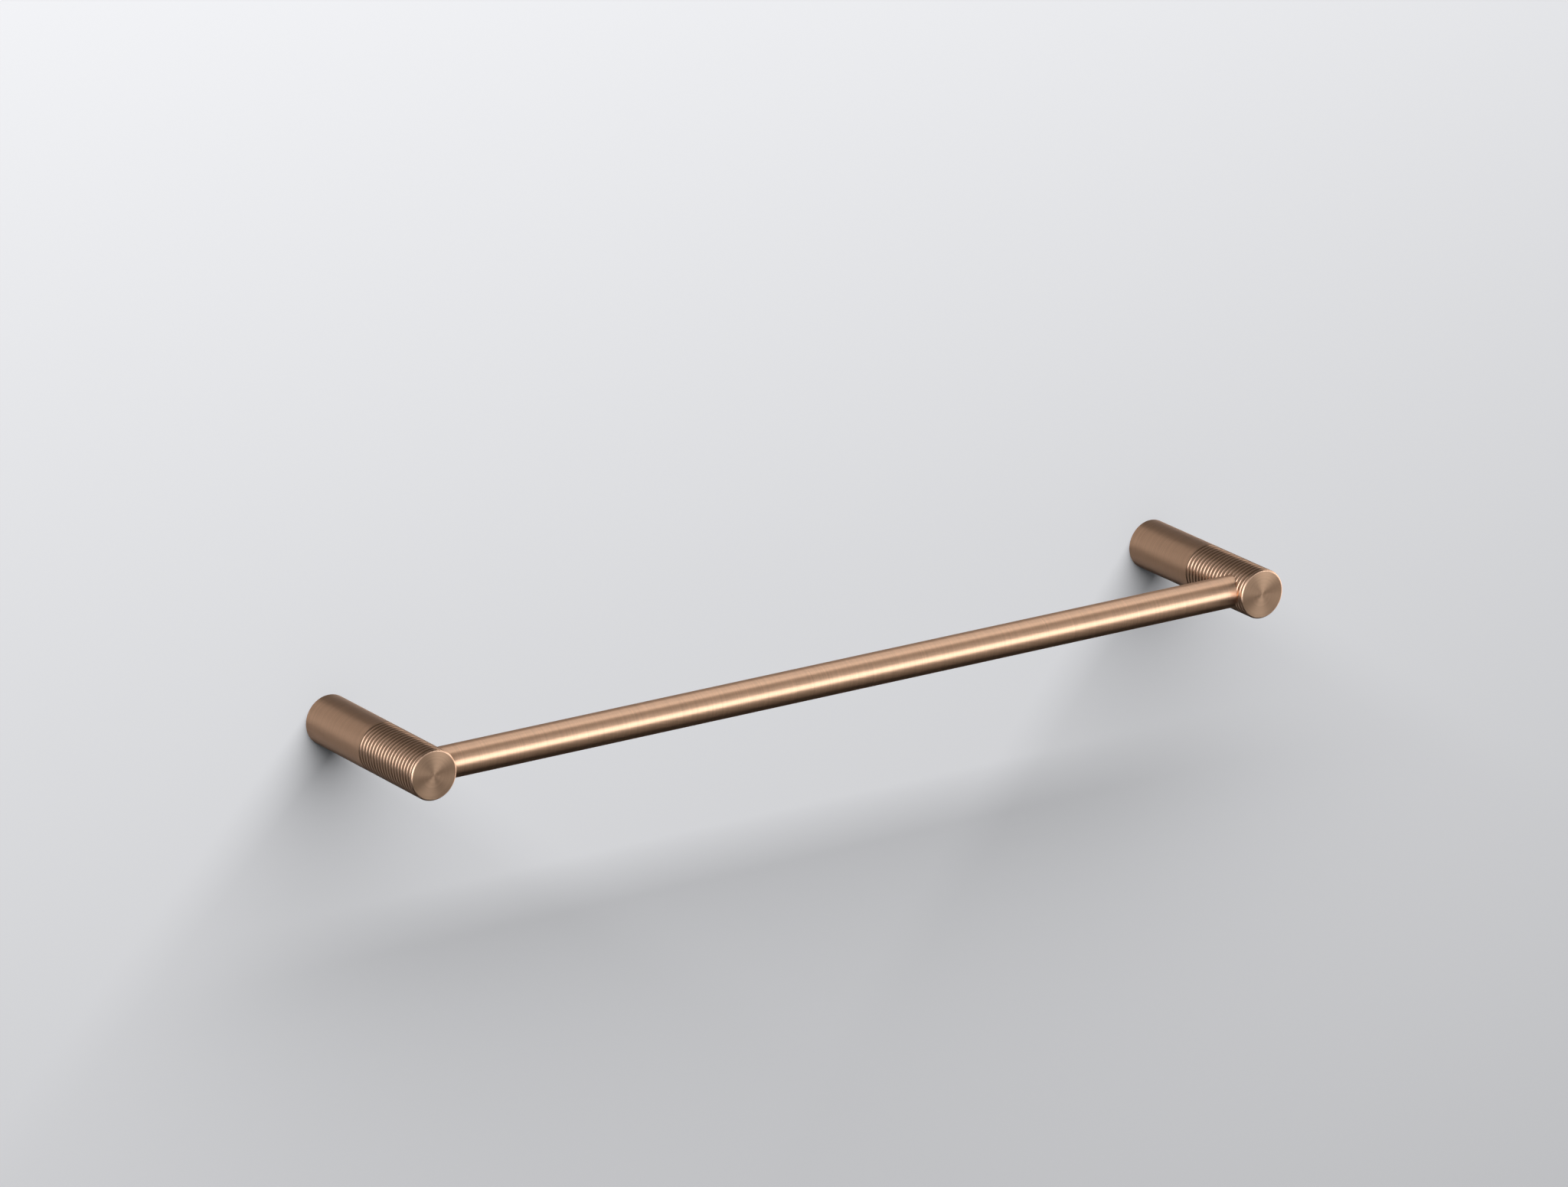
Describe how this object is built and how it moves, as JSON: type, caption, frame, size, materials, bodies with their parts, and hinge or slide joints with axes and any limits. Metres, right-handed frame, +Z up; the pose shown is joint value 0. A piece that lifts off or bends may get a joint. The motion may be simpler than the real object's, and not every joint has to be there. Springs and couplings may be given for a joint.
{
  "type": "towel rail",
  "caption": "Wall-mounted towel rail: a straight round bar held between turned round posts whose front halves carry closely spaced rings, in brushed copper-bronze.",
  "frame": {"origin": "on the wall plane, midway between the axes of the posts", "axes": "+X along the bar to the right as seen from the room, +Y into the wall, +Z up"},
  "size_m": [0.5, 0.094, 0.025],
  "materials": {
    "brushed_bronze": "brushed, copper-bronze coated",
    "plug_brass": "turned",
    "boss_steel": "turned",
    "screw_steel": "dark oxide"
  },
  "bodies": {
    "root": {"bar": "brushed_bronze", "left_post": "brushed_bronze", "right_post": "brushed_bronze", "left_bar_plug": "plug_brass", "right_bar_plug": "plug_brass", "left_bar_set_screw": "screw_steel", "right_bar_set_screw": "screw_steel", "left_wall_boss": "boss_steel", "right_wall_boss": "boss_steel", "left_grub_screw": "screw_steel", "right_grub_screw": "screw_steel"}
  },
  "joints": []
}
